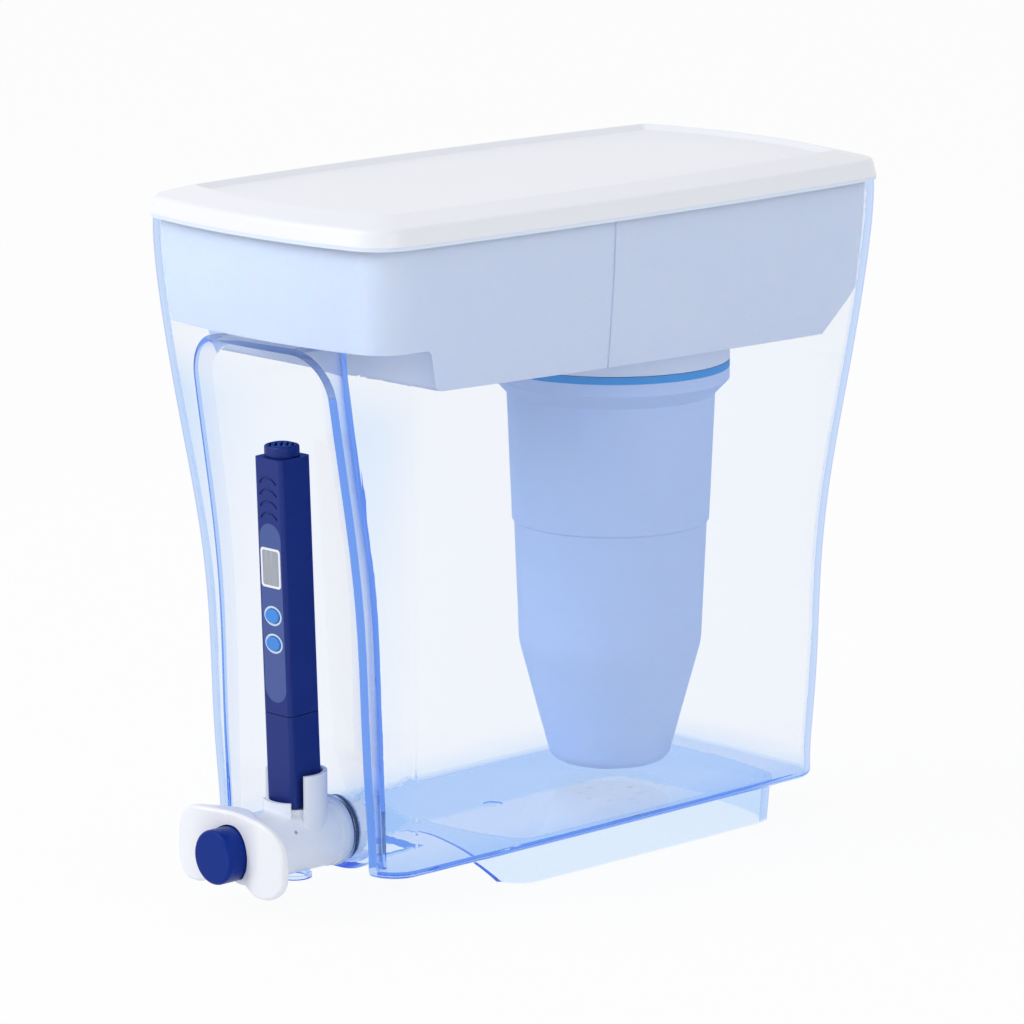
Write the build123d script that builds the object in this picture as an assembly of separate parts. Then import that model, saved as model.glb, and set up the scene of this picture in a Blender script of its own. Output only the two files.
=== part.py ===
from build123d import *
import os
from math import ceil, cos, radians, sin, sqrt

# Gravity water filter with a tap.
#
# A clear tank stands on a skirt.  A tray hangs in the tank's mouth and carries the filter,
# and a lid closes the tray.  The tap sits at the foot of a niche in the front wall and holds
# a pen meter in a cup on its back.  Millimetres, +Z up, the tap faces -Y.
# Every piece is drawn round the vertical line through the middle of the tank's plan;
# the last lines shift all of them so that the whole object is centred over the origin.

# ---------------------------------------------------------------- tank
TOTAL_HEIGHT = 276.0
SKIRT_HEIGHT = 16.5
LID_HEIGHT = 10.0
FLANGE_THICK = 1.5
FLANGE_LIP = 0.8
WALL = 2.4
FLOOR_THICK = 3.0

RIM_HALF_WIDTH = 68.2
RIM_HALF_LENGTH = 138.2
RIM_SIDE_BOW = 4.8
RIM_END_BOW = 8.7
RIM_CORNER = 17.0
BASE_HALF_WIDTH = 54.2
BASE_HALF_LENGTH = 120.2
BASE_SIDE_BOW = 1.2
BASE_END_BOW = 2.5
BASE_CORNER = 13.0
BASE_EDGE_FILLET = 3.0
DRAFT_SHARE = 0.026
SWEEP_LOW_Z = 106.0
SWEEP_HIGH_Z = 256.0
SECTION_SPACING = 36.0

SKIRT_HALF_WIDTH = 48.6
SKIRT_FRONT_Y = -46.0
SKIRT_BACK_Y = 99.5
SKIRT_SIDE_BOW = 0.5
SKIRT_FRONT_BOW = 8.7
SKIRT_BACK_BOW = 8.0
SKIRT_CORNER = 12.0
SKIRT_WALL = 2.5
SKIRT_DRAFT = 1.2
SKIRT_ARCH_HALF = 36.0
SKIRT_ARCH_RISE = 12.0
GATE_MARK_Y = -17.0
GATE_MARK_RADIUS = 4.0
GATE_MARK_DEPTH = 0.5

# ---------------------------------------------------------------- niche and sump
NICHE_HALF_WIDTH = 38.0
NICHE_FOOT_HALF_WIDTH = 40.5
NICHE_TOP_Z = 221.0
NICHE_TOP_CORNER = 17.0
NICHE_SIDE_DEPTH = 9.0
NICHE_FOOT_SIDE_DEPTH = 6.5
NICHE_FOOT_SETBACK = 18.2
NICHE_BACK_RUN = 12.0
NICHE_MARGIN = 4.0
NICHE_SECTION_SPACING = 27.0
SUMP_RADIUS = 46.0
SUMP_DEPTH = 7.0
SUMP_LENGTH = 24.0

# ---------------------------------------------------------------- tray
TRAY_WALL = 2.2
TRAY_CLEARANCE = 0.9
TRAY_FRONT_BOTTOM_Z = 224.4
TRAY_BACK_BOTTOM_Z = 221.5
TRAY_DEEP_FRONT_Z = 208.0
TRAY_DEEP_BACK_Z = 204.0
TRAY_SECTION_SPACING = 24.0
TRAY_STEP_BACK_Y = 107.0
TRAY_STEP_FRONT_RUN = 4.0
TRAY_STEP_BACK_RUN = 20.0
TRAY_FRONT_FILLET = 3.0
TRAY_BACK_FILLET = 12.0
TRAY_MARGIN = 6.0
GROOVE_Y = -18.2
GROOVE_WIDTH = 1.4
GROOVE_DEPTH = 0.8
NECK_WALL = 3.9

# ---------------------------------------------------------------- lid
LID_SHOULDER_HEIGHT = 6.4
LID_SHOULDER_INSET = 1.4
LID_SHOULDER_FILLET = 2.5
LID_BORDER = 13.0
LID_CREST = 1.0
LID_PANEL_SLOPE = 2.2
LID_PANEL_DEPTH = 2.0
LID_SKIN = 2.4
LID_SIDE_WALL = 3.6
LID_RING_DEPTH = 5.0
LID_RING_WALL = 1.8
LID_RING_GAP = 0.6

# ---------------------------------------------------------------- filter
FILTER_Y = 49.5
FILTER_BOTTOM_Z = 27.0
FILTER_BOTTOM_RADIUS = 23.8
FILTER_CONE_TOP_Z = 77.0
FILTER_CONE_TOP_RADIUS = 37.2
FILTER_STEP_Z = 127.0
FILTER_STEP = 0.9
FILTER_DRAFT = 0.04
FILTER_SHOULDER_Z = 180.0
FILTER_COLLAR_Z = 186.0
FILTER_COLLAR_TOP_Z = 191.0
FILTER_COLLAR_RADIUS = 48.0
FILTER_WALL = 1.8
FILTER_BOTTOM_FILLET = 6.5
FILTER_CONE_FILLET = 24.0
SPIGOT_CLEARANCE = 0.4
SPIGOT_HEIGHT = 12.0
RING_THICK = 3.0
SEAT_GAP = 0.3
CAP_TOP_THICK = 2.0
CAP_SLOTS = 12
CAP_SLOT_WIDTH = 3.0
CAP_SLOT_LENGTH = 14.0
CAP_SLOT_CIRCLE = 27.0
CAP_SKIRT_HEIGHT = 3.0
CAP_GRIP_HEIGHT = 6.0
CAP_GRIP_THICK = 3.0
CAP_GRIP_LENGTH = 30.0
DRAIN_HOLES = 8
DRAIN_RADIUS = 1.6
DRAIN_CIRCLE = 12.0
MEMBRANE_THICK = 2.0
RESIN_HEIGHT = 96.0
CARBON_HEIGHT = 34.0
FOAM_HEIGHT = 9.0
SCREEN_THICK = 1.0
BED_GAP = 0.3

# ---------------------------------------------------------------- tap
TAP_Z = 25.0
BARREL_RADIUS = 13.3
BARREL_LENGTH = 42.0
TAP_FLANGE_RADIUS = 13.7
TAP_FLANGE_THICK = 3.0
PAD_RADIUS = 13.2
PAD_FRONT_RISE = 2.1
PAD_BACK_RISE = 1.2
GASKET_RADIUS = 14.2
GASKET_THICK = 2.0
GASKET_EDGE = 0.7
INNER_GASKET_RADIUS = 11.8
SHANK_RADIUS = 8.0
SHANK_BORE = 6.0
SHANK_LENGTH = 20.0
HOLE_CLEARANCE = 0.3
NUT_ACROSS_FLATS = 21.0
NUT_THICK = 6.0
CHAMBER_RADIUS = 8.0
BUTTON_RADIUS = 10.8
BUTTON_CLEARANCE = 0.5
BUTTON_BORE_DEPTH = 11.0
BUTTON_PROUD = 9.6
BUTTON_WALL = 2.0
BUTTON_FACE_THICK = 3.0
BUTTON_BOSS_RADIUS = 4.0
BUTTON_BOSS_LENGTH = 9.0
BUTTON_EDGE = 1.4
BUTTON_TRAVEL = 6.0
BUTTON_END_GAP = 1.1
SEAT_THICK = 3.0
SEAT_HOLE = 4.0
STEM_RADIUS = 2.2
STEM_DEPTH_IN_BUTTON = 7.0
STEM_COLLAR_RADIUS = 6.0
STEM_COLLAR_THICK = 2.0
STEM_HEAD_RADIUS = 3.6
STEM_HEAD_THICK = 1.5
SPRING_LENGTH = 20.0
SPRING_RADIUS = 4.8
SPRING_WIRE = 0.45
SPRING_TURNS = 6
SEAL_RADIUS = 5.5
SEAL_THICK = 3.0
BUSH_THICK = 3.0
SPOUT_SETBACK = 14.1
SPOUT_RADIUS = 6.0
SPOUT_WALL = 1.2
SPOUT_BOTTOM_Z = 9.6
SPOUT_LIP = 0.8
SPOUT_LIP_HEIGHT = 1.5

WING_HALF_SPAN = 30.4
WING_TOP = 16.5
WING_BOTTOM = -14.0
WING_WAIST_HALF = 15.0
WING_WAIST_RISE = 4.0
WING_WAIST_FILLET = 12.0
WING_TOP_CORNER = 14.0
WING_BOTTOM_CORNER = 9.0
WING_EDGE = 1.5
WING_OVERLAP = 3.6
WING_CENTRE_THICK = 8.5
WING_THICK = 4.2
WING_LOBE_X = 18.0
WING_LOBE_SWELL = 3.0
WING_TIP_CURL = -0.3
WING_TIP_SLOPE = 0.35

# ---------------------------------------------------------------- meter cup on the tap
CUP_SETBACK = 13.4
CUP_RADIUS = 12.5
CUP_WALL = 1.7
CUP_FLOOR_Z = 38.4
CUP_LIP_Z = 41.5
CUP_TALL_Z = 52.2
CUP_SLOT_DEG = 40.0
CUP_OPENING_DEG = 65.0
DRIP_HOLE_DEG = 62.0
DRIP_HOLE_SETBACK = 10.2
DRIP_HOLE_RADIUS = 0.8
DRIP_HOLE_DEPTH = 2.0

# ---------------------------------------------------------------- pen meter
METER_LEAN_DEG = 2.2
METER_SIZE = 15.6
METER_CORNER = 1.8
METER_WALL = 1.5
METER_FOOT_Z = 39.0
METER_CAP_LENGTH = 37.0
METER_CASE_LENGTH = 101.5
METER_SPLIT_GAP = 0.3
METER_NECK_LENGTH = 9.0
METER_FIT = 0.25
METER_FLOOR = 2.0
CAP_RECESS_WIDTH = 9.6
CAP_RECESS_HEIGHT = 1.8
CAP_RECESS_DEPTH = 0.9
BATTERY_CAP_HEIGHT = 4.2
BATTERY_CAP_WIDTH = 13.2
BATTERY_CAP_DEPTH = 12.0
BATTERY_CAP_CORNER = 5.0
BATTERY_CAP_EDGE = 1.0
BATTERY_PLUG_LENGTH = 4.0
BATTERY_SLOTS = 5
BATTERY_SLOT_WIDTH = 0.9
BATTERY_SLOT_PITCH = 2.2
BATTERY_SLOT_DEPTH = 1.0
PANEL_BOTTOM = 42.0
PANEL_LENGTH = 71.0
PANEL_WIDTH = 12.0
PANEL_THICK = 0.7
DISPLAY_CENTRE = 95.5
DISPLAY_HEIGHT = 15.6
DISPLAY_WIDTH = 11.0
DISPLAY_CORNER = 1.4
BEZEL_WIDTH = 0.9
BEZEL_PROUD = 0.25
KEY_LOW = 65.5
KEY_HIGH = 76.5
KEY_WIDTH = 7.7
KEY_HEIGHT = 5.6
KEY_PROUD = 0.8
KEY_TRAVEL = 0.5
KEY_STEM_RADIUS = 1.5
KEY_STEM_LENGTH = 2.4
GRIP_ARCS = 4
GRIP_PITCH = 4.6
GRIP_BOTTOM = 117.8
GRIP_RADIUS = 6.0
GRIP_WIDTH = 1.0
GRIP_DEPTH = 0.4
GRIP_HALF_SPAN = 4.9
BAY_FLOOR = 123.2
CELL_RADIUS = 5.5
CELL_THICK = 5.2
CELL_COUNT = 2
BOARD_THICK = 1.0
BOARD_WIDTH = 9.4
BOARD_LENGTH = 72.0
BOARD_FRONT_Y = -4.2
BLOCK_SIZE = 9.0
BLOCK_FIT = 0.2
BLOCK_LENGTH = 15.0
PIN_RADIUS = 0.8
PIN_LENGTH = 9.0
PIN_SPACING = 5.0

# ---------------------------------------------------------------- places that follow
RIM_Z = TOTAL_HEIGHT - LID_HEIGHT - FLANGE_THICK
LID_Z = RIM_Z + FLANGE_THICK
FLOOR_TOP_Z = SKIRT_HEIGHT + FLOOR_THICK
BODY_RISE = RIM_Z - SKIRT_HEIGHT
TRAY_INSET = WALL + TRAY_CLEARANCE
NICHE_BACK_FOOT_Y = NICHE_FOOT_SETBACK - BASE_HALF_LENGTH
NICHE_BACK_TOP_Y = NICHE_BACK_FOOT_Y - NICHE_BACK_RUN
TRAY_STEP_FRONT_Y = NICHE_BACK_TOP_Y + TRAY_INSET + TRAY_STEP_FRONT_RUN
NECK_BOTTOM_Z = FILTER_COLLAR_TOP_Z + RING_THICK + SEAT_GAP
NECK_BORE = FILTER_COLLAR_RADIUS - NECK_WALL
SPIGOT_RADIUS = NECK_BORE - SPIGOT_CLEARANCE
SPIGOT_TOP_Z = FILTER_COLLAR_TOP_Z + SPIGOT_HEIGHT
PAD_FRONT_Y = NICHE_BACK_FOOT_Y - PAD_FRONT_RISE
PAD_BACK_Y = NICHE_BACK_FOOT_Y + WALL + PAD_BACK_RISE
TAP_FLANGE_BACK_Y = PAD_FRONT_Y - GASKET_THICK
TAP_FLANGE_FRONT_Y = TAP_FLANGE_BACK_Y - TAP_FLANGE_THICK
NUT_FRONT_Y = PAD_BACK_Y + GASKET_THICK
BARREL_FRONT_Y = TAP_FLANGE_FRONT_Y - BARREL_LENGTH
CUP_Y = TAP_FLANGE_FRONT_Y - CUP_SETBACK
SPOUT_Y = TAP_FLANGE_FRONT_Y - SPOUT_SETBACK
DRIP_HOLE_Y = CUP_Y - DRIP_HOLE_SETBACK
SEAT_BACK_Y = TAP_FLANGE_FRONT_Y
SEAT_FRONT_Y = SEAT_BACK_Y - SEAT_THICK
BUTTON_BORE = BUTTON_RADIUS + BUTTON_CLEARANCE
BUTTON_BORE_END_Y = BARREL_FRONT_Y + BUTTON_BORE_DEPTH
WING_FRONT_Y = BARREL_FRONT_Y + WING_OVERLAP - WING_CENTRE_THICK
BUTTON_FACE_Y = WING_FRONT_Y - BUTTON_PROUD
BUSH_FRONT_Y = BUTTON_BORE_END_Y - BUSH_THICK
BUTTON_BACK_Y = BUSH_FRONT_Y - BUTTON_END_GAP - BUTTON_TRAVEL
STEM_FRONT_Y = BUTTON_FACE_Y + STEM_DEPTH_IN_BUTTON
STEM_COLLAR_Y = SEAT_FRONT_Y - SPRING_LENGTH - STEM_COLLAR_THICK
SEAL_FRONT_Y = SEAT_BACK_Y + SEAT_GAP
BATTERY_CAP_FOOT = METER_CAP_LENGTH + METER_CASE_LENGTH + METER_SPLIT_GAP
CASE_TOP = METER_CAP_LENGTH + METER_CASE_LENGTH
METER_FRONT = METER_SIZE / 2
CENTRE_SHIFT_Y = -(BUTTON_FACE_Y + RIM_HALF_LENGTH + FLANGE_LIP + RIM_END_BOW) / 2
REACH = 200.0
PAST = 1.0
METER_PLACE = Pos(0, CUP_Y, METER_FOOT_Z) * Rot(X=METER_LEAN_DEG)


# ---------------------------------------------------------------- shape helpers
def body_size(foot, rim, z):
    """Size of the flared tank at height z, between its foot value and its rim value."""
    share = (z - SWEEP_LOW_Z) / (SWEEP_HIGH_Z - SWEEP_LOW_Z)
    share = min(max(share, 0.0), 1.0)
    sweep = share * share * (3 - 2 * share)
    draft = DRAFT_SHARE * (z - SKIRT_HEIGHT)
    return foot + draft + (rim - foot - DRAFT_SHARE * BODY_RISE) * sweep


def blend(foot, rim, z):
    """Straight blend between the tank's foot and its rim."""
    return foot + (rim - foot) * (z - SKIRT_HEIGHT) / BODY_RISE


def bowed_outline(half_width, front_y, back_y, side_bow, front_bow, back_bow, corner):
    """Plan outline with bowed sides and ends and round corners."""
    middle = (front_y + back_y) / 2
    front = ThreePointArc((-half_width, front_y), (0, front_y - front_bow), (half_width, front_y))
    right = ThreePointArc((half_width, front_y), (half_width + side_bow, middle), (half_width, back_y))
    back = ThreePointArc((half_width, back_y), (0, back_y + back_bow), (-half_width, back_y))
    left = ThreePointArc((-half_width, back_y), (-half_width - side_bow, middle), (-half_width, front_y))
    face = make_face([front, right, back, left])
    return fillet(face.vertices(), corner)


def body_outline(z, inset=0.0):
    """Plan outline of the tank at height z, drawn in by a wall."""
    half_width = body_size(BASE_HALF_WIDTH, RIM_HALF_WIDTH, z) - inset
    half_length = body_size(BASE_HALF_LENGTH, RIM_HALF_LENGTH, z) - inset
    side_bow = blend(BASE_SIDE_BOW, RIM_SIDE_BOW, z)
    end_bow = blend(BASE_END_BOW, RIM_END_BOW, z)
    corner = blend(BASE_CORNER, RIM_CORNER, z) - inset
    return bowed_outline(half_width, -half_length, half_length, side_bow, end_bow, end_bow, corner)


def even_heights(low_z, high_z, spacing):
    """Heights from low to high, in even steps no wider than the spacing."""
    steps = ceil((high_z - low_z) / spacing)
    return [low_z + (high_z - low_z) * i / steps for i in range(steps + 1)]


def body_loft(low_z, high_z, inset=0.0, spacing=SECTION_SPACING):
    """Solid that follows the tank's flared sides between two heights."""
    heights = even_heights(low_z, high_z, spacing)
    return loft([Pos(0, 0, z) * body_outline(z, inset) for z in heights])


def front_view(sketch, from_y, to_y):
    """Solid from a front view, drawn as (x, z), between two places along Y."""
    plane = Plane(origin=(0, to_y, 0), x_dir=(1, 0, 0), z_dir=(0, -1, 0))
    return extrude(plane * sketch, amount=to_y - from_y)


def side_view(sketch):
    """Solid from a side view, drawn as (y, z), that reaches past both sides."""
    return extrude(Plane.YZ * sketch, amount=REACH, both=True)


def rod(radius, from_y, to_y, z=TAP_Z):
    """Round bar along Y."""
    return Pos(0, (from_y + to_y) / 2, z) * Rot(X=90) * Cylinder(radius, to_y - from_y)


def post(radius, from_z, to_z, x=0.0, y=0.0):
    """Round bar along Z."""
    return Pos(x, y, (from_z + to_z) / 2) * Cylinder(radius, to_z - from_z)


def block(from_corner, to_corner):
    """Box between two corners."""
    size = [b - a for a, b in zip(from_corner, to_corner)]
    centre = [(a + b) / 2 for a, b in zip(from_corner, to_corner)]
    return Pos(*centre) * Box(*size)


def turned(face):
    """Solid of revolution of a half section drawn as (radius, height)."""
    return revolve(Plane.XZ * face, axis=Axis.Z)


def around(count, radius, piece):
    """Copies of a piece, evenly spaced on a circle about Z."""
    return [loc * piece for loc in PolarLocations(radius, count)]


# ---------------------------------------------------------------- tank
def niche_half(z):
    """Half width of the niche, wider at its foot."""
    share = (z - SKIRT_HEIGHT) / (NICHE_TOP_Z - SKIRT_HEIGHT)
    return NICHE_FOOT_HALF_WIDTH + (NICHE_HALF_WIDTH - NICHE_FOOT_HALF_WIDTH) * share


def niche_section(z, grow):
    """Everything in front of the niche's hollow back, in plan at height z."""
    share = (z - SKIRT_HEIGHT) / (NICHE_TOP_Z - SKIRT_HEIGHT)
    half = niche_half(z)
    width = body_size(BASE_HALF_WIDTH, RIM_HALF_WIDTH, z)
    front_y = -body_size(BASE_HALF_LENGTH, RIM_HALF_LENGTH, z)
    face_y = front_y - blend(BASE_END_BOW, RIM_END_BOW, z) * (1 - (half / width) ** 2)
    cheek_y = face_y + NICHE_FOOT_SIDE_DEPTH + (NICHE_SIDE_DEPTH - NICHE_FOOT_SIDE_DEPTH) * share
    back_y = NICHE_BACK_FOOT_Y + (NICHE_BACK_TOP_Y - NICHE_BACK_FOOT_Y) * share
    radius = (half ** 2 + (back_y - cheek_y) ** 2) / (2 * (back_y - cheek_y)) + grow
    edge = min(half + grow + NICHE_MARGIN, radius)
    back_y = back_y + grow
    edge_y = back_y - radius + sqrt(radius ** 2 - edge ** 2)
    hollow = ThreePointArc((-edge, edge_y), (0, back_y), (edge, edge_y))
    rest = Polyline((edge, edge_y), (edge, -REACH), (-edge, -REACH), (-edge, edge_y))
    return make_face([hollow, rest])


def niche_space(grow):
    """Space of the niche; grow adds a wall round it for the tank's inner side."""
    low_z = -SKIRT_HEIGHT
    top_z = NICHE_TOP_Z + grow
    heights = even_heights(low_z, top_z + PAST, NICHE_SECTION_SPACING)
    hollow = loft([Pos(0, 0, z) * niche_section(z, grow) for z in heights])
    low_half = niche_half(low_z) + grow
    top_half = niche_half(NICHE_TOP_Z) + grow
    corners = [(-low_half, low_z), (low_half, low_z), (top_half, top_z), (-top_half, top_z)]
    arch = make_face(Polyline(*corners, close=True))
    arch = fillet(arch.vertices().sort_by(Axis.Y)[-2:], NICHE_TOP_CORNER + grow)
    return hollow & front_view(arch, -REACH, 0)


def sump(radius, back_y, top_z):
    """Shallow round-bottomed trough under the tap's hole."""
    bottom_z = SKIRT_HEIGHT - SUMP_DEPTH
    trough = rod(radius, NICHE_BACK_FOOT_Y - SUMP_LENGTH / 2, back_y, z=bottom_z + SUMP_RADIUS)
    return trough & block((-REACH, -REACH, 0), (REACH, REACH, top_z))


def skirt_outline(inset):
    """Plan outline of the skirt."""
    return bowed_outline(SKIRT_HALF_WIDTH - inset, SKIRT_FRONT_Y + inset, SKIRT_BACK_Y - inset,
                         SKIRT_SIDE_BOW, SKIRT_FRONT_BOW, SKIRT_BACK_BOW, SKIRT_CORNER - inset)


def skirt(inset, low_z, high_z):
    """Tapered block of the skirt."""
    low = Pos(0, 0, low_z) * skirt_outline(inset + SKIRT_DRAFT)
    high = Pos(0, 0, high_z) * skirt_outline(inset)
    return loft([low, high])


def tank_shell():
    """Clear tank: flared body, niche for the tap, sump and skirt in one moulding."""
    body = body_loft(SKIRT_HEIGHT, RIM_Z)
    body = fillet(body.faces().sort_by(Axis.Z)[0].edges(), BASE_EDGE_FILLET)
    outside = body + sump(SUMP_RADIUS, NICHE_BACK_FOOT_Y + SUMP_LENGTH, FLOOR_TOP_Z)
    outside += skirt(0, 0, SKIRT_HEIGHT + FLOOR_THICK / 2)
    outside -= niche_space(0)
    pad = rod(PAD_RADIUS, PAD_FRONT_Y, PAD_BACK_Y)

    inside = body_loft(FLOOR_TOP_Z, RIM_Z + FLANGE_THICK, WALL)
    sump_back_y = NICHE_BACK_FOOT_Y + SUMP_LENGTH - WALL
    inside += sump(SUMP_RADIUS - WALL, sump_back_y, FLOOR_TOP_Z + FLOOR_THICK)
    inside -= niche_space(WALL)

    arch = make_face([
        ThreePointArc((-SKIRT_ARCH_HALF, 0), (0, SKIRT_ARCH_RISE), (SKIRT_ARCH_HALF, 0)),
        Polyline((SKIRT_ARCH_HALF, 0), (SKIRT_ARCH_HALF, -SKIRT_WALL),
                 (-SKIRT_ARCH_HALF, -SKIRT_WALL), (-SKIRT_ARCH_HALF, 0)),
    ])
    arch_cut = front_view(arch, SKIRT_FRONT_Y - 2 * SKIRT_FRONT_BOW, SKIRT_FRONT_Y + SKIRT_CORNER)
    tank = outside - inside - skirt(SKIRT_WALL, 0, SKIRT_HEIGHT) - arch_cut
    tank = tank + pad - rod(SHANK_RADIUS + HOLE_CLEARANCE, PAD_FRONT_Y - WALL, PAD_BACK_Y + WALL)
    mark_low_z = FLOOR_TOP_Z - GATE_MARK_DEPTH
    return tank - post(GATE_MARK_RADIUS, mark_low_z, FLOOR_TOP_Z + PAST, y=GATE_MARK_Y)


# ---------------------------------------------------------------- tray and lid
def tray_profile(grow):
    """Side view of the tray's stepped bottom; grow lifts it by the tray's own wall."""
    points = [
        (-REACH, RIM_Z + FLANGE_THICK),
        (-REACH, TRAY_FRONT_BOTTOM_Z + grow),
        (TRAY_STEP_FRONT_Y - TRAY_STEP_FRONT_RUN + grow, TRAY_FRONT_BOTTOM_Z + grow),
        (TRAY_STEP_FRONT_Y + grow, TRAY_DEEP_FRONT_Z + grow),
        (TRAY_STEP_BACK_Y - grow, TRAY_DEEP_BACK_Z + grow),
        (TRAY_STEP_BACK_Y + TRAY_STEP_BACK_RUN - grow, TRAY_BACK_BOTTOM_Z + grow),
        (REACH, TRAY_BACK_BOTTOM_Z + grow),
        (REACH, RIM_Z + FLANGE_THICK),
    ]
    face = make_face(Polyline(*points, close=True))
    face = fillet([v for v in face.vertices() if -REACH < v.X < 0], TRAY_FRONT_FILLET)
    back = [v for v in face.vertices() if TRAY_STEP_BACK_Y - 2 * grow < v.X < REACH]
    return fillet(back, TRAY_BACK_FILLET)


def tray_sides(top_z, inset):
    """Block that follows the tank's sides, as deep as the tray."""
    return body_loft(TRAY_DEEP_BACK_Z - TRAY_MARGIN, top_z, inset, TRAY_SECTION_SPACING)


def tray_block(inset, grow, top_z):
    """Solid of the tray's stepped basin."""
    return tray_sides(top_z, inset) & side_view(tray_profile(grow))


def reservoir_tray():
    """Tray that hangs in the tank's mouth: rim flange, stepped basin and filter neck."""
    basin = tray_block(TRAY_INSET, 0, RIM_Z)
    flange = extrude(Pos(0, 0, RIM_Z) * body_outline(RIM_Z, -FLANGE_LIP), amount=FLANGE_THICK)
    neck_top_z = TRAY_DEEP_FRONT_Z
    neck = post(FILTER_COLLAR_RADIUS, NECK_BOTTOM_Z, neck_top_z, y=FILTER_Y)
    hollow = tray_block(TRAY_INSET + TRAY_WALL, TRAY_WALL, RIM_Z + FLANGE_THICK)
    tray = basin + flange + (neck - hollow) - hollow
    tray -= post(NECK_BORE, NECK_BOTTOM_Z - PAST, neck_top_z + PAST, y=FILTER_Y)
    strip = block((-REACH, GROOVE_Y - GROOVE_WIDTH / 2, 0), (REACH, GROOVE_Y + GROOVE_WIDTH / 2, RIM_Z))
    return tray - (strip - tray_sides(RIM_Z, TRAY_INSET + GROOVE_DEPTH))


def rim_outline(z, inset):
    """Outline of the rim, drawn in and set at height z."""
    return Pos(0, 0, z) * body_outline(RIM_Z, inset)


def lid():
    """Cap with a sloping border, a sunken top panel and a locating ring."""
    shoulder_z = LID_Z + LID_SHOULDER_HEIGHT
    shoulder_inset = LID_SHOULDER_INSET - FLANGE_LIP
    foot = rim_outline(LID_Z, -FLANGE_LIP)
    shoulder = rim_outline(shoulder_z, shoulder_inset)
    cap = loft([foot, shoulder], ruled=True)
    cap += loft([shoulder, rim_outline(TOTAL_HEIGHT, shoulder_inset + LID_BORDER)], ruled=True)
    edge = [e for e in cap.edges() if abs(e.center().Z - shoulder_z) < 0.01]
    cap = fillet(edge, LID_SHOULDER_FILLET)
    panel_inset = shoulder_inset + LID_BORDER + LID_CREST
    panel_z = TOTAL_HEIGHT - LID_PANEL_DEPTH
    panel_top = rim_outline(TOTAL_HEIGHT, panel_inset)
    cap -= loft([rim_outline(panel_z, panel_inset + LID_PANEL_SLOPE), panel_top], ruled=True)
    hollow_top_z = panel_z - LID_SKIN
    cap -= loft([rim_outline(LID_Z, LID_SIDE_WALL), rim_outline(hollow_top_z, 2 * LID_SIDE_WALL)], ruled=True)
    ring_inset = TRAY_INSET + TRAY_WALL + LID_RING_GAP
    ring = body_outline(RIM_Z, ring_inset) - body_outline(RIM_Z, ring_inset + LID_RING_WALL)
    ring_low_z = LID_Z - LID_RING_DEPTH
    return cap + extrude(Pos(0, 0, ring_low_z) * ring, amount=hollow_top_z + LID_SKIN / 2 - ring_low_z)


# ---------------------------------------------------------------- filter
def filter_radius(z):
    """Outer radius of the filter cup, below its shoulder."""
    if z < FILTER_CONE_TOP_Z:
        share = (z - FILTER_BOTTOM_Z) / (FILTER_CONE_TOP_Z - FILTER_BOTTOM_Z)
        return FILTER_BOTTOM_RADIUS + (FILTER_CONE_TOP_RADIUS - FILTER_BOTTOM_RADIUS) * share
    step = FILTER_STEP if z > FILTER_STEP_Z else 0.0
    return FILTER_CONE_TOP_RADIUS + FILTER_DRAFT * (z - FILTER_CONE_TOP_Z) + step


def filter_wall(inset):
    """Points up the cup's side, from the bottom corner to the shoulder."""
    step_top_z = FILTER_STEP_Z + FILTER_STEP
    heights = [FILTER_BOTTOM_Z, FILTER_CONE_TOP_Z, FILTER_STEP_Z, step_top_z, FILTER_SHOULDER_Z]
    side = [(filter_radius(z) - inset, z) for z in heights]
    side[0] = (filter_radius(FILTER_BOTTOM_Z + inset) - inset, FILTER_BOTTOM_Z + inset)
    return side


def round_bottom(face, inset):
    """Soften the cup's bottom corner and the top of its cone."""
    low = [v for v in face.vertices() if v.X > 1 and v.Y < FILTER_BOTTOM_Z + FILTER_WALL + 1]
    face = fillet(low, FILTER_BOTTOM_FILLET - inset)
    cone = [v for v in face.vertices() if abs(v.Y - FILTER_CONE_TOP_Z) < 0.01 and v.X > 1]
    return fillet(cone, FILTER_CONE_FILLET)


def filter_cup():
    """Filter housing: tapered cup, collar and spigot, open at the top."""
    outer = [(0, FILTER_BOTTOM_Z)] + filter_wall(0) + [
        (FILTER_COLLAR_RADIUS, FILTER_COLLAR_Z),
        (FILTER_COLLAR_RADIUS, FILTER_COLLAR_TOP_Z),
        (SPIGOT_RADIUS, FILTER_COLLAR_TOP_Z),
        (SPIGOT_RADIUS, SPIGOT_TOP_Z),
        (0, SPIGOT_TOP_Z),
    ]
    bore = SPIGOT_RADIUS - FILTER_WALL
    inner = [(0, FILTER_BOTTOM_Z + FILTER_WALL)] + filter_wall(FILTER_WALL) + [
        (bore, FILTER_COLLAR_Z),
        (bore, SPIGOT_TOP_Z),
        (0, SPIGOT_TOP_Z),
    ]
    outside = round_bottom(make_face(Polyline(*outer, close=True)), 0)
    inside = round_bottom(make_face(Polyline(*inner, close=True)), FILTER_WALL)
    cup = turned(outside - inside)
    drain = post(DRAIN_RADIUS, FILTER_BOTTOM_Z - PAST, FILTER_BOTTOM_Z + FILTER_WALL + PAST)
    cup -= around(DRAIN_HOLES, DRAIN_CIRCLE, drain)
    return Pos(0, FILTER_Y, 0) * cup


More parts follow.
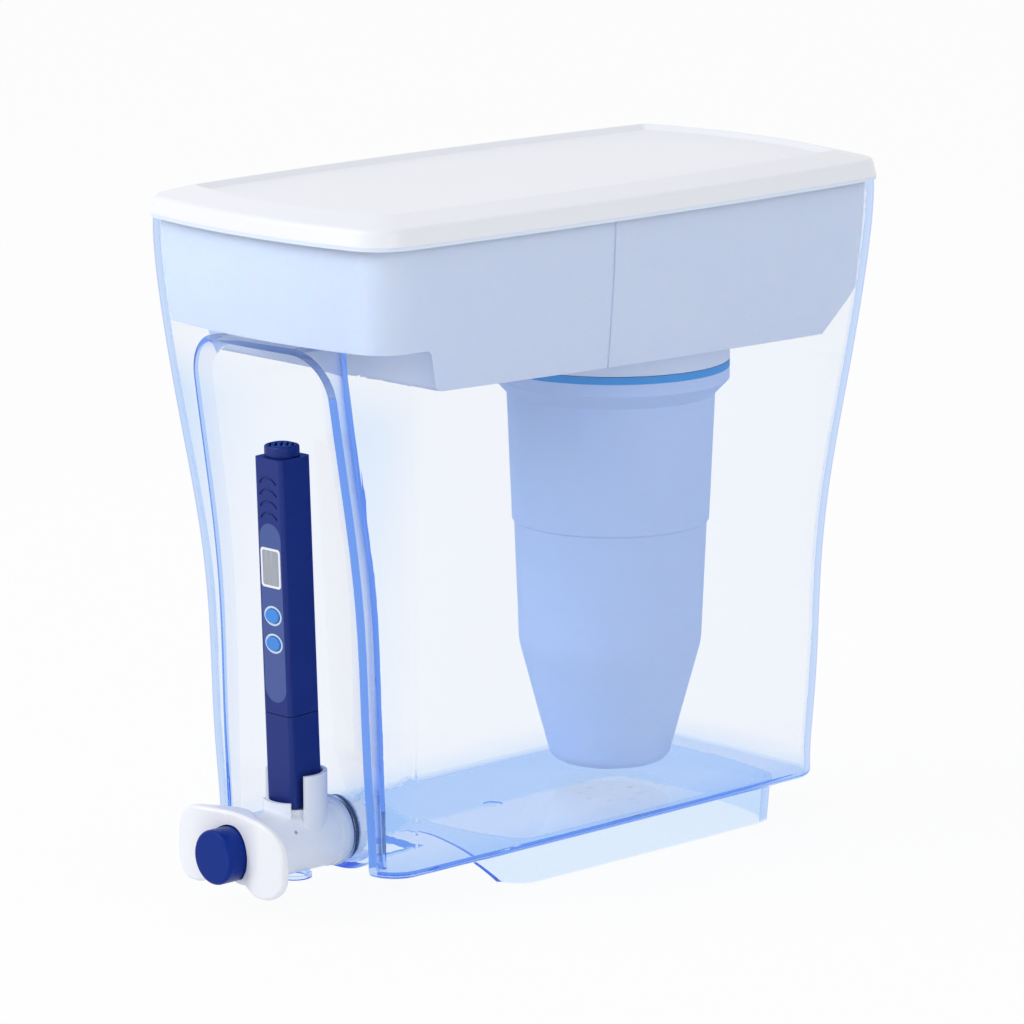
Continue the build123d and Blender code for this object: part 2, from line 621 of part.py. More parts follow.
def bed(low_z, high_z):
    """Layer of filter medium that fills the cup between two heights."""
    marks = [FILTER_CONE_TOP_Z, FILTER_STEP_Z]
    heights = [low_z] + [z for z in marks if low_z < z < high_z] + [high_z]
    side = [(filter_radius(z) - FILTER_WALL - BED_GAP, z) for z in heights]
    face = make_face(Polyline((0, low_z), *side, (0, high_z), close=True))
    cone = [v for v in face.vertices() if abs(v.Y - FILTER_CONE_TOP_Z) < 0.01 and v.X > 1]
    if cone:
        face = fillet(cone, FILTER_CONE_FILLET)
    return Pos(0, FILTER_Y, 0) * turned(face)


MEMBRANE_Z = FILTER_BOTTOM_Z + FILTER_WALL + FILTER_BOTTOM_FILLET
RESIN_Z = MEMBRANE_Z + MEMBRANE_THICK
CARBON_Z = RESIN_Z + RESIN_HEIGHT
FOAM_Z = CARBON_Z + CARBON_HEIGHT
SCREEN_Z = FOAM_Z + FOAM_HEIGHT


def outlet_membrane():
    """Fine sheet at the foot of the cup."""
    return bed(MEMBRANE_Z, RESIN_Z)


def resin_bed():
    """Ion exchange resin."""
    return bed(RESIN_Z, CARBON_Z)


def carbon_bed():
    """Activated carbon."""
    return bed(CARBON_Z, FOAM_Z)


def foam_distributor():
    """Foam that spreads the water."""
    return bed(FOAM_Z, SCREEN_Z)


def coarse_screen():
    """Coarse screen on the foam."""
    return bed(SCREEN_Z, SCREEN_Z + SCREEN_THICK)


def filter_cap():
    """Slotted cap with a grip bar, pressed into the spigot."""
    plug_radius = SPIGOT_RADIUS - FILTER_WALL - METER_FIT
    cap = post(SPIGOT_RADIUS, SPIGOT_TOP_Z, SPIGOT_TOP_Z + CAP_TOP_THICK)
    ring = post(plug_radius, SPIGOT_TOP_Z - CAP_SKIRT_HEIGHT, SPIGOT_TOP_Z)
    ring -= post(plug_radius - FILTER_WALL, SPIGOT_TOP_Z - CAP_SKIRT_HEIGHT - PAST, SPIGOT_TOP_Z)
    slot = extrude(Pos(0, 0, SPIGOT_TOP_Z - PAST) * SlotOverall(CAP_SLOT_LENGTH, CAP_SLOT_WIDTH),
                   amount=CAP_TOP_THICK + 2 * PAST)
    cap -= around(CAP_SLOTS, CAP_SLOT_CIRCLE, slot)
    grip = RectangleRounded(CAP_GRIP_LENGTH, CAP_GRIP_THICK, CAP_GRIP_THICK / 2.5)
    bar = extrude(Pos(0, 0, SPIGOT_TOP_Z + CAP_TOP_THICK) * grip, amount=CAP_GRIP_HEIGHT)
    return Pos(0, FILTER_Y, 0) * (cap + ring + bar)


def filter_seal_ring():
    """Soft ring between the filter's collar and the tray's neck."""
    ring = post(FILTER_COLLAR_RADIUS, FILTER_COLLAR_TOP_Z, FILTER_COLLAR_TOP_Z + RING_THICK, y=FILTER_Y)
    return ring - post(NECK_BORE, FILTER_COLLAR_TOP_Z - PAST, NECK_BOTTOM_Z, y=FILTER_Y)


# ---------------------------------------------------------------- tap
def cup_sector(from_deg, to_deg, low_z):
    """Stretch of the meter cup's wall between two angles from the front, as seen from above."""
    far = 2 * CUP_RADIUS
    near = CUP_RADIUS - 2 * CUP_WALL
    angles = [radians(a) for a in (from_deg, (from_deg + to_deg) / 2, to_deg)]
    outer = [(far * sin(a), -far * cos(a)) for a in angles]
    inner = [(near * sin(a), -near * cos(a)) for a in reversed(angles)]
    face = make_face(Polyline(*outer, *inner, close=True))
    return extrude(Pos(0, CUP_Y, low_z) * face, amount=CUP_TALL_Z)


def tap_body():
    """Tap moulding: barrel, wall flange, shank and the cup that holds the meter."""
    cup = post(CUP_RADIUS, TAP_Z, CUP_TALL_Z, y=CUP_Y)
    cup -= cup_sector(-CUP_OPENING_DEG, CUP_OPENING_DEG, CUP_LIP_Z)
    cup -= cup_sector(CUP_SLOT_DEG, CUP_OPENING_DEG, TAP_Z)
    cup -= cup_sector(-CUP_OPENING_DEG, -CUP_SLOT_DEG, TAP_Z)
    shank_end_y = TAP_FLANGE_BACK_Y + SHANK_LENGTH
    body = rod(BARREL_RADIUS, BARREL_FRONT_Y, TAP_FLANGE_FRONT_Y) + cup
    body += rod(TAP_FLANGE_RADIUS, TAP_FLANGE_FRONT_Y, TAP_FLANGE_BACK_Y)
    body += rod(SHANK_RADIUS, TAP_FLANGE_BACK_Y, shank_end_y)
    body -= rod(BUTTON_BORE, BARREL_FRONT_Y, BUTTON_BORE_END_Y)
    body -= rod(CHAMBER_RADIUS, BUTTON_BORE_END_Y, SEAT_FRONT_Y)
    body -= rod(SEAT_HOLE, SEAT_FRONT_Y, SEAT_BACK_Y)
    body -= rod(SHANK_BORE, SEAT_BACK_Y, shank_end_y)
    body -= post(CUP_RADIUS - CUP_WALL, CUP_FLOOR_Z, CUP_TALL_Z, y=CUP_Y)
    drip_hole = post(DRIP_HOLE_RADIUS, BARREL_RADIUS - DRIP_HOLE_DEPTH, BARREL_RADIUS + PAST)
    body -= Pos(0, DRIP_HOLE_Y, TAP_Z) * Rot(Y=DRIP_HOLE_DEG) * drip_hole
    return body - post(SPOUT_RADIUS, 0, TAP_Z, y=SPOUT_Y)


def spout_nozzle():
    """Clear nozzle pressed into the barrel's underside."""
    top_z = TAP_Z - CHAMBER_RADIUS
    tube = post(SPOUT_RADIUS, SPOUT_BOTTOM_Z, top_z, y=SPOUT_Y)
    lip = post(SPOUT_RADIUS + SPOUT_LIP, SPOUT_BOTTOM_Z, SPOUT_BOTTOM_Z + SPOUT_LIP_HEIGHT, y=SPOUT_Y)
    return tube + lip - post(SPOUT_RADIUS - SPOUT_WALL, 0, TAP_Z, y=SPOUT_Y)


def outer_gasket():
    """Washer between the tap's flange and the tank."""
    washer = rod(GASKET_RADIUS, TAP_FLANGE_BACK_Y, PAD_FRONT_Y)
    washer = fillet(washer.edges().filter_by(GeomType.CIRCLE), GASKET_EDGE)
    return washer - rod(SHANK_RADIUS, TAP_FLANGE_BACK_Y, PAD_FRONT_Y)


def inner_gasket():
    """Washer between the tank and the lock nut."""
    washer = rod(INNER_GASKET_RADIUS, PAD_BACK_Y, NUT_FRONT_Y)
    return washer - rod(SHANK_RADIUS, PAD_BACK_Y, NUT_FRONT_Y)


def lock_nut():
    """Hexagonal nut on the shank, inside the tank."""
    hexagon = RegularPolygon(NUT_ACROSS_FLATS / 2, 6, major_radius=False)
    nut = front_view(Pos(0, TAP_Z) * hexagon, NUT_FRONT_Y, NUT_FRONT_Y + NUT_THICK)
    return nut - rod(SHANK_RADIUS, NUT_FRONT_Y, NUT_FRONT_Y + NUT_THICK)


def stem_bush():
    """Guide for the stem, against the shoulder behind the button."""
    bush = rod(BUTTON_BORE, BUSH_FRONT_Y, BUTTON_BORE_END_Y)
    return bush - rod(STEM_RADIUS + HOLE_CLEARANCE, BUSH_FRONT_Y, BUTTON_BORE_END_Y)


def tap_button():
    """Push button with a socket for the stem."""
    button = rod(BUTTON_RADIUS, BUTTON_FACE_Y, BUTTON_BACK_Y)
    button = fillet(button.edges().sort_by(Axis.Y)[0], BUTTON_EDGE)
    button -= rod(BUTTON_RADIUS - BUTTON_WALL, BUTTON_FACE_Y + BUTTON_FACE_THICK, BUTTON_BACK_Y)
    boss_end_y = BUTTON_FACE_Y + BUTTON_FACE_THICK + BUTTON_BOSS_LENGTH
    button += rod(BUTTON_BOSS_RADIUS, BUTTON_FACE_Y + BUTTON_FACE_THICK, boss_end_y)
    return button - rod(STEM_RADIUS, STEM_FRONT_Y, boss_end_y)


def valve_stem():
    """Stem from the button through the seat, with a collar for the spring."""
    seal_end_y = SEAL_FRONT_Y + SEAL_THICK
    stem = rod(STEM_RADIUS, STEM_FRONT_Y, seal_end_y)
    stem += rod(STEM_COLLAR_RADIUS, STEM_COLLAR_Y, STEM_COLLAR_Y + STEM_COLLAR_THICK)
    return stem + rod(STEM_HEAD_RADIUS, seal_end_y, seal_end_y + STEM_HEAD_THICK)


def valve_seal():
    """Rubber disc that the spring holds on the seat."""
    disc = rod(SEAL_RADIUS, SEAL_FRONT_Y, SEAL_FRONT_Y + SEAL_THICK)
    return disc - rod(STEM_RADIUS, SEAL_FRONT_Y, SEAL_FRONT_Y + SEAL_THICK)


def return_spring():
    """Compression spring between the seat wall and the stem's collar."""
    height = SPRING_LENGTH - 2 * SPRING_WIRE
    pitch = height / SPRING_TURNS
    path = Helix(pitch=pitch, height=height, radius=SPRING_RADIUS)
    section = Plane(origin=path @ 0, z_dir=path % 0) * RegularPolygon(SPRING_WIRE, 6)
    coil = sweep(section, path=path, is_frenet=True)
    return Pos(0, SEAT_FRONT_Y - SPRING_WIRE, TAP_Z) * Rot(X=90) * coil


def wing_plate():
    """Finger plate round the button: two swelling wings with a waist below."""
    half = WING_HALF_SPAN
    lobe_y = WING_FRONT_Y - WING_LOBE_SWELL
    tip_y = WING_FRONT_Y + WING_TIP_CURL
    lobe = [(WING_LOBE_X, lobe_y), (half, tip_y)]
    front_points = [(-x, y) for x, y in reversed(lobe)] + [(0, WING_FRONT_Y)] + lobe
    front = Spline(*front_points, tangents=[(1, -WING_TIP_SLOPE), (1, WING_TIP_SLOPE)])
    lobe = [(x, y + WING_THICK) for x, y in lobe]
    back_middle = (0, WING_FRONT_Y + WING_CENTRE_THICK)
    back_points = list(reversed(lobe)) + [back_middle] + [(-x, y) for x, y in lobe]
    back = Spline(*back_points, tangents=[(-1, -WING_TIP_SLOPE), (-1, WING_TIP_SLOPE)])
    plan = make_face([front, Line(front @ 1, back @ 0), back, Line(back @ 1, front @ 0)])
    slab = extrude(Pos(0, 0, TAP_Z - REACH / 2) * plan, amount=REACH)

    waist = ThreePointArc((-WING_WAIST_HALF, WING_BOTTOM), (0, WING_BOTTOM + WING_WAIST_RISE),
                          (WING_WAIST_HALF, WING_BOTTOM))
    frame = Polyline((WING_WAIST_HALF, WING_BOTTOM), (half, WING_BOTTOM), (half, WING_TOP),
                     (-half, WING_TOP), (-half, WING_BOTTOM), (-WING_WAIST_HALF, WING_BOTTOM))
    outline = make_face([waist, frame])
    for height, corner in ((WING_TOP, WING_TOP_CORNER), (WING_BOTTOM, WING_BOTTOM_CORNER)):
        ends = [v for v in outline.vertices() if abs(v.X) > half - 0.01 and abs(v.Y - height) < 0.01]
        outline = fillet(ends, corner)
    waist_ends = [v for v in outline.vertices() if abs(abs(v.X) - WING_WAIST_HALF) < 0.01]
    outline = fillet(waist_ends, WING_WAIST_FILLET)
    plate = slab & front_view(Pos(0, TAP_Z) * outline, -REACH, 0)
    plate = fillet(plate.faces().sort_by(Axis.Y)[0].edges(), WING_EDGE)
    plate -= rod(BUTTON_BORE, -REACH, 0)
    return plate - rod(BARREL_RADIUS, BARREL_FRONT_Y, 0)


# ---------------------------------------------------------------- pen meter
def square_bar(size, corner, low_z, high_z):
    """Square bar with round edges, along the meter."""
    return extrude(Pos(0, 0, low_z) * RectangleRounded(size, size, corner), amount=high_z - low_z)


def meter_cap():
    """Cover over the probe."""
    size = METER_SIZE - 2 * METER_WALL
    cap = square_bar(METER_SIZE, METER_CORNER, 0, METER_CAP_LENGTH)
    cap = fillet(cap.faces().sort_by(Axis.Z)[0].edges(), METER_WALL / 2)
    cap -= square_bar(size, METER_CORNER - METER_WALL, METER_WALL, METER_CAP_LENGTH)
    recess = Ellipse(CAP_RECESS_WIDTH / 2, CAP_RECESS_HEIGHT)
    recess = front_view(recess, -METER_SIZE, CAP_RECESS_DEPTH - METER_FRONT)
    return METER_PLACE * (cap - recess)


def grip_arcs():
    """Shallow crescents above the display."""
    arcs = []
    for i in range(GRIP_ARCS):
        middle = GRIP_BOTTOM + GRIP_PITCH * i
        ring = Circle(GRIP_RADIUS) - Circle(GRIP_RADIUS - GRIP_WIDTH)
        ring = Pos(0, middle - GRIP_RADIUS) * ring
        window = Pos(0, middle) * Rectangle(2 * GRIP_HALF_SPAN, GRIP_RADIUS)
        arcs.append(ring & window)
    return arcs


def meter_case():
    """Meter housing with its neck, panel recess, battery bay and electronics space."""
    foot = METER_CAP_LENGTH + METER_SPLIT_GAP
    case = square_bar(METER_SIZE, METER_CORNER, foot, CASE_TOP)
    neck_size = METER_SIZE - 2 * (METER_WALL + METER_FIT)
    neck_corner = METER_CORNER - METER_WALL
    case += square_bar(neck_size, neck_corner, foot - METER_NECK_LENGTH, foot)
    board_space = METER_SIZE - 2 * METER_WALL
    board_floor = foot + METER_FLOOR
    case -= square_bar(board_space, neck_corner, board_floor, board_floor + BOARD_LENGTH + METER_FLOOR)
    bore = BLOCK_SIZE + 2 * BLOCK_FIT
    case -= square_bar(bore, METER_FIT, foot - METER_NECK_LENGTH, board_floor)
    case -= post(CELL_RADIUS + METER_FIT, BAY_FLOOR, CASE_TOP)

    panel_middle = PANEL_BOTTOM + PANEL_LENGTH / 2
    recess = Pos(0, panel_middle) * Rot(Z=90) * SlotOverall(PANEL_LENGTH, PANEL_WIDTH)
    case -= front_view(recess, -METER_FRONT, -METER_FRONT + PANEL_THICK)
    window_size = (DISPLAY_WIDTH - 4 * BEZEL_WIDTH, DISPLAY_HEIGHT - 4 * BEZEL_WIDTH)
    window = Pos(0, DISPLAY_CENTRE) * Rectangle(*window_size)
    case -= front_view(window, -METER_FRONT, -METER_FRONT + METER_WALL)
    for height in (KEY_LOW, KEY_HIGH):
        hole = Pos(0, height) * Circle(KEY_STEM_RADIUS + METER_FIT)
        case -= front_view(hole, -METER_FRONT, -METER_FRONT + METER_WALL)
    for arc in grip_arcs():
        case -= front_view(arc, -METER_FRONT, -METER_FRONT + GRIP_DEPTH)
    return METER_PLACE * case


def display_opening(shrink):
    """Front view of the display's rounded opening."""
    width = DISPLAY_WIDTH - 2 * shrink
    height = DISPLAY_HEIGHT - 2 * shrink
    return Pos(0, DISPLAY_CENTRE) * RectangleRounded(width, height, DISPLAY_CORNER - shrink / 2)


def face_panel():
    """Inset front panel with openings for the display and the keys."""
    panel_middle = PANEL_BOTTOM + PANEL_LENGTH / 2
    panel = Pos(0, panel_middle) * Rot(Z=90) * SlotOverall(PANEL_LENGTH, PANEL_WIDTH)
    panel -= display_opening(0)
    for height in (KEY_LOW, KEY_HIGH):
        panel -= Pos(0, height) * Ellipse(KEY_WIDTH / 2 + METER_FIT, KEY_HEIGHT / 2 + METER_FIT)
    return METER_PLACE * front_view(panel, -METER_FRONT, -METER_FRONT + PANEL_THICK)


def display_bezel():
    """Frame round the display."""
    frame = display_opening(0) - display_opening(BEZEL_WIDTH)
    return METER_PLACE * front_view(frame, -METER_FRONT - BEZEL_PROUD, -METER_FRONT + PANEL_THICK)


def display_window():
    """Display glass inside the bezel."""
    glass = display_opening(BEZEL_WIDTH)
    return METER_PLACE * front_view(glass, -METER_FRONT, -METER_FRONT + PANEL_THICK)


def meter_key(height):
    """Oval key with a short stem through the case wall."""
    head_back = -METER_FRONT + PANEL_THICK - KEY_TRAVEL - METER_FIT / 5
    oval = Pos(0, height) * Ellipse(KEY_WIDTH / 2, KEY_HEIGHT / 2)
    head = front_view(oval, -METER_FRONT - KEY_PROUD, head_back)
    head = fillet(head.edges().group_by(Axis.Y)[0], KEY_PROUD / 2)
    stem = front_view(Pos(0, height) * Circle(KEY_STEM_RADIUS), head_back, head_back + KEY_STEM_LENGTH)
    return METER_PLACE * (head + stem)


def power_key():
    """Upper key."""
    return meter_key(KEY_HIGH)


def hold_key():
    """Lower key."""
    return meter_key(KEY_LOW)


def battery_cap():
    """Ribbed cap over the battery bay."""
    top = BATTERY_CAP_FOOT + BATTERY_CAP_HEIGHT
    oval = RectangleRounded(BATTERY_CAP_WIDTH, BATTERY_CAP_DEPTH, BATTERY_CAP_CORNER)
    cap = extrude(Pos(0, 0, BATTERY_CAP_FOOT) * oval, amount=BATTERY_CAP_HEIGHT)
    cap = fillet(cap.faces().sort_by(Axis.Z)[-1].edges(), BATTERY_CAP_EDGE)
    cap += post(CELL_RADIUS, BATTERY_CAP_FOOT - BATTERY_PLUG_LENGTH, BATTERY_CAP_FOOT)
    for i in range(BATTERY_SLOTS):
        offset = (i - (BATTERY_SLOTS - 1) / 2) * BATTERY_SLOT_PITCH
        groove = Box(BATTERY_SLOT_WIDTH, BATTERY_CAP_WIDTH / 2, 2 * BATTERY_SLOT_DEPTH)
        cap -= Pos(0, 0, top) * Rot(Z=45) * Pos(offset, 0, 0) * groove
    return METER_PLACE * cap


def button_cells():
    """Two button cells, one on the other."""
    cells = []
    for i in range(CELL_COUNT):
        low = BAY_FLOOR + i * CELL_THICK
        cells.append(METER_PLACE * post(CELL_RADIUS, low, low + CELL_THICK))
    return cells


def circuit_board():
    """Board behind the display, standing on the case's floor."""
    low = METER_CAP_LENGTH + METER_SPLIT_GAP + METER_FLOOR
    front = (-BOARD_WIDTH / 2, BOARD_FRONT_Y, low)
    back = (BOARD_WIDTH / 2, BOARD_FRONT_Y + BOARD_THICK, low + BOARD_LENGTH)
    return METER_PLACE * block(front, back)


def probe_block():
    """Insulating block that holds the probe pins."""
    top = METER_CAP_LENGTH + METER_SPLIT_GAP + METER_FLOOR
    return METER_PLACE * square_bar(BLOCK_SIZE, METER_FIT, top - BLOCK_LENGTH, top)


def probe_pins():
    """Two metal pins under the block."""
    top = METER_CAP_LENGTH + METER_SPLIT_GAP + METER_FLOOR - BLOCK_LENGTH
    places = (-PIN_SPACING / 2, PIN_SPACING / 2)
    return [METER_PLACE * post(PIN_RADIUS, top - PIN_LENGTH, top, x=place) for place in places]


# ---------------------------------------------------------------- output
PIECES = [
    tank_shell, reservoir_tray, lid,
    filter_cup, filter_cap, filter_seal_ring,
    outlet_membrane, resin_bed, carbon_bed, foam_distributor, coarse_screen,
    tap_body, wing_plate, tap_button, valve_stem, valve_seal, return_spring, stem_bush,
    spout_nozzle, outer_gasket, inner_gasket, lock_nut,
    meter_cap, meter_case, face_panel, display_bezel, display_window, power_key, hold_key,
    battery_cap, button_cells, circuit_board, probe_block, probe_pins,
]

os.makedirs("parts", exist_ok=True)
for piece in PIECES:
    made = piece()
    solids = made if isinstance(made, list) else [made]
    placed = Compound([Pos(0, CENTRE_SHIFT_Y, 0) * s for item in solids for s in item.solids()])
    export_step(placed, f"parts/{piece.__name__}.step")
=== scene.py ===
import math

import bmesh
import bpy
from mathutils import Matrix, Vector

# Looks of the gravity water filter: clear blue tank, frosted reservoir, white lid and tap,
# dark blue pen meter.  Metres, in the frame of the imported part.

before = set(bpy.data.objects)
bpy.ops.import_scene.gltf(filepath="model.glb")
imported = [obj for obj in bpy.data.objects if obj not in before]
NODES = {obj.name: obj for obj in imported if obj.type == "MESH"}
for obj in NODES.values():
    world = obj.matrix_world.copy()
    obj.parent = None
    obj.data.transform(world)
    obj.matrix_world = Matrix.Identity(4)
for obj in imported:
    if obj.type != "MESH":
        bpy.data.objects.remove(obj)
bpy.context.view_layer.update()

CAMERA_AZIMUTH = 45.89
CAMERA_ELEVATION = 11.83
CAMERA_DISTANCE = 2.20671
CAMERA_LENS = 193.808
CAMERA_TARGET = Vector((0.0, 0.00895, 0.1366))
CAMERA_SIDE_SHIFT = -0.00372
SENSOR_WIDTH = 36.0
VIEW_DEPTH = 50.0

# Clear plastic: how far it bends and mirrors light, the rays that it tints, and where painted shade lies:
# blue painted low down and at the front corners, and dark blue painted on rims seen edge-on.
PLASTIC_INDEX = 1.42
PLASTIC_GLOSS = 0.3
# Painted shade: deep blue laid on upright walls seen edge-on, in place of dark surroundings seen in the
# plastic at its silhouettes.
PAINTED_RIM_SHADE = (0.04, 0.17, 0.80)
INNER_EDGE_TINT = (0.56, 0.71, 0.96)
LAMP_LIGHT_TINT = (0.82, 0.91, 1.0)
# Painted shade: bands where blue is painted in place of the blue shadow seen through the floor, skirt and
# front corners.
PAINTED_SHADE_FLOOR_Z = (0.030, 0.014)
PAINTED_SHADE_FRONT_Y = (-0.098, -0.135)
PAINTED_SHADE_BELOW_Z = (0.222, 0.190)
RIM_FACING = (0.66, 0.90)
UPRIGHT_NORMAL = (0.6, 0.2)

CLOUD_SCALE = 38.0
KEY_RING_WIDTH = 0.0011
KEY_RING_EDGE = (1.02, 0.98)

FLOOR_SIZE = 6.0
FLOOR_COLOUR = (0.95, 0.95, 0.96)
FLOOR_WHITE_SHARE = 0.93
FLOOR_WHITE_SHARE_IN_GLASS = 0.82
SKY_COLOUR = (0.96, 0.975, 1.0)
SKY_STRENGTH = 0.72
WHITE = (1.0, 1.0, 1.0)
LAMP_AIM = (0.0, 0.0, 0.12)


# ---------------------------------------------------------------- node helpers
def new_material(name):
    """Empty node material with its output."""
    material = bpy.data.materials.new(name)
    material.use_nodes = True
    tree = material.node_tree
    tree.nodes.clear()
    output = tree.nodes.new("ShaderNodeOutputMaterial")
    return material, tree, output


def principled(tree, output, **values):
    """Principled shader with its sockets set by name."""
    shader = tree.nodes.new("ShaderNodeBsdfPrincipled")
    for key, value in values.items():
        shader.inputs[key.replace("_", " ")].default_value = value
    tree.links.new(shader.outputs["BSDF"], output.inputs["Surface"])
    return shader


def noise(tree, scale, detail=3.0, stretch=(1.0, 1.0, 1.0)):
    """Noise on object coordinates, stretched along an axis where asked."""
    place = tree.nodes.new("ShaderNodeTexCoord")
    mapping = tree.nodes.new("ShaderNodeMapping")
    mapping.inputs["Scale"].default_value = stretch
    texture = tree.nodes.new("ShaderNodeTexNoise")
    texture.inputs["Scale"].default_value = scale
    texture.inputs["Detail"].default_value = detail
    tree.links.new(place.outputs["Object"], mapping.inputs["Vector"])
    tree.links.new(mapping.outputs["Vector"], texture.inputs["Vector"])
    return texture.outputs["Fac"]


def remap(tree, value, low, high):
    """Noise value spread between two numbers."""
    node = tree.nodes.new("ShaderNodeMapRange")
    node.inputs["From Min"].default_value = 0.3
    node.inputs["From Max"].default_value = 0.7
    node.inputs["To Min"].default_value = low
    node.inputs["To Max"].default_value = high
    tree.links.new(value, node.inputs["Value"])
    return node.outputs["Result"]


def two_tone(tree, value, first, second):
    """Colour between two tones."""
    node = tree.nodes.new("ShaderNodeMix")
    node.data_type = "RGBA"
    node.inputs["A"].default_value = (*first, 1.0)
    node.inputs["B"].default_value = (*second, 1.0)
    tree.links.new(value, node.inputs["Factor"])
    return node.outputs["Result"]


def bump(tree, height, shader, strength, distance):
    """Bump of a shader's normal."""
    node = tree.nodes.new("ShaderNodeBump")
    node.inputs["Strength"].default_value = strength
    node.inputs["Distance"].default_value = distance
    tree.links.new(height, node.inputs["Height"])
    tree.links.new(node.outputs["Normal"], shader.inputs["Normal"])


def srgb(red, green, blue):
    """Linear colour of an sRGB colour given in 0 to 255."""
    def linear(value):
        value = value / 255
        return value / 12.92 if value <= 0.04045 else ((value + 0.055) / 1.055) ** 2.4
    return linear(red), linear(green), linear(blue)


# ---------------------------------------------------------------- materials
def moulded(name, colour, roughness=0.35, variation=0.03, grain=0.0, grain_scale=900.0, **values):
    """Moulded plastic: faint clouding of colour and gloss, and a grain where asked."""
    material, tree, output = new_material(name)
    shader = principled(tree, output, Roughness=roughness, **values)
    darker = tuple(c * (1 - variation) for c in colour)
    lighter = tuple(min(c * (1 + variation), 1.0) for c in colour)
    cloud = noise(tree, CLOUD_SCALE)
    tree.links.new(two_tone(tree, cloud, darker, lighter), shader.inputs["Base Color"])
    tree.links.new(remap(tree, cloud, roughness * 0.88, roughness * 1.12), shader.inputs["Roughness"])
    if grain:
        bump(tree, noise(tree, grain_scale, 2.0), shader, grain, 0.0001)
    return material


def clear_plastic(name, absorption, density, roughness=0.015, painted_shade=(1.0, 1.0, 1.0),
                  painted_rim_colour=PAINTED_RIM_SHADE, edge_colour=INNER_EDGE_TINT):
    """Clear moulded plastic, deeper blue along its edges where light reflects inside it, with painted
    shade: painted dark rims and painted blue shade in the floor, skirt and front corners.
    """
    material, tree, output = new_material(name)
    shader = principled(tree, output, IOR=PLASTIC_INDEX, Transmission_Weight=1.0, Roughness=roughness,
                        Specular_IOR_Level=PLASTIC_GLOSS)
    tree.links.new(plastic_tint(tree, painted_shade, painted_rim_colour), shader.inputs["Base Color"])
    path = tree.nodes.new("ShaderNodeLightPath")
    edge = see_through(tree, edge_colour).outputs["BSDF"]
    inside = mixed(tree, path.outputs["Is Diffuse Ray"], edge, shader.outputs["BSDF"])
    freed = mixed(tree, path.outputs["Is Reflection Ray"], shader.outputs["BSDF"], inside)
    lamp_light = see_through(tree, LAMP_LIGHT_TINT).outputs["BSDF"]
    lit = mixed(tree, path.outputs["Is Shadow Ray"], freed, lamp_light)
    tree.links.new(lit, output.inputs["Surface"])
    volume = tree.nodes.new("ShaderNodeVolumeAbsorption")
    volume.inputs["Color"].default_value = (*absorption, 1.0)
    volume.inputs["Density"].default_value = density
    tree.links.new(volume.outputs["Volume"], output.inputs["Volume"])
    return material


def see_through(tree, colour):
    """Shader that lets light straight through, tinted."""
    node = tree.nodes.new("ShaderNodeBsdfTransparent")
    node.inputs["Color"].default_value = (*colour, 1.0)
    return node


def mixed(tree, share, first, second):
    """Two shaders mixed by a share."""
    node = tree.nodes.new("ShaderNodeMixShader")
    tree.links.new(share, node.inputs[0])
    tree.links.new(first, node.inputs[1])
    tree.links.new(second, node.inputs[2])
    return node.outputs["Shader"]


def plastic_tint(tree, painted_shade, painted_rim_colour):
    """Tint of the clear plastic: painted blue shade in the floor, skirt and front corners, and painted
    dark rims round upright walls seen edge-on.
    """
    place = tree.nodes.new("ShaderNodeTexCoord")
    axes = tree.nodes.new("ShaderNodeSeparateXYZ")
    tree.links.new(place.outputs["Object"], axes.inputs["Vector"])
    low = ramp(tree, axes.outputs["Z"], *PAINTED_SHADE_FLOOR_Z)
    front = ramp(tree, axes.outputs["Y"], *PAINTED_SHADE_FRONT_Y)
    below_tray = ramp(tree, axes.outputs["Z"], *PAINTED_SHADE_BELOW_Z)
    corners = joined(tree, "MULTIPLY", front, below_tray)
    # painted shade: blue laid low down and at the front corners, in place of the blue shadow seen through
    # the plastic
    painted_shade_tone = two_tone(tree, joined(tree, "MAXIMUM", low, corners), WHITE, painted_shade)
    normal = tree.nodes.new("ShaderNodeSeparateXYZ")
    tree.links.new(place.outputs["Normal"], normal.inputs["Vector"])
    level = joined(tree, "MULTIPLY", normal.outputs["Z"], normal.outputs["Z"])
    turn = tree.nodes.new("ShaderNodeLayerWeight")
    turn.inputs["Blend"].default_value = 0.5
    # painted shade: upright walls seen edge-on get a painted dark blue rim in place of the dark
    # surroundings they would show
    edge_on = ramp(tree, turn.outputs["Facing"], *RIM_FACING)
    painted_rim = joined(tree, "MULTIPLY", edge_on, ramp(tree, level, *UPRIGHT_NORMAL))
    node = tree.nodes.new("ShaderNodeMix")
    node.data_type = "RGBA"
    node.inputs["B"].default_value = (*painted_rim_colour, 1.0)
    tree.links.new(painted_shade_tone, node.inputs["A"])
    tree.links.new(painted_rim, node.inputs["Factor"])
    return node.outputs["Result"]


def ramp(tree, value, start, end):
    """0 at start to 1 at end, smoothly."""
    node = tree.nodes.new("ShaderNodeMapRange")
    node.interpolation_type = "SMOOTHSTEP"
    node.inputs["From Min"].default_value = start
    node.inputs["From Max"].default_value = end
    tree.links.new(value, node.inputs["Value"])
    return node.outputs["Result"]


def joined(tree, operation, first, second):
    """Two values put together by the named operation."""
    node = tree.nodes.new("ShaderNodeMath")
    node.operation = operation
    tree.links.new(first, node.inputs[0])
    tree.links.new(second, node.inputs[1])
    return node.outputs["Value"]


def granular(name, first, second, scale):
    """Loose grains."""
    material, tree, output = new_material(name)
    shader = principled(tree, output, Roughness=0.75)
    grains = noise(tree, scale, 4.0)
    colour = two_tone(tree, remap(tree, grains, 0.0, 1.0), first, second)
    tree.links.new(colour, shader.inputs["Base Color"])
    bump(tree, grains, shader, 0.6, 0.0008)
    return material


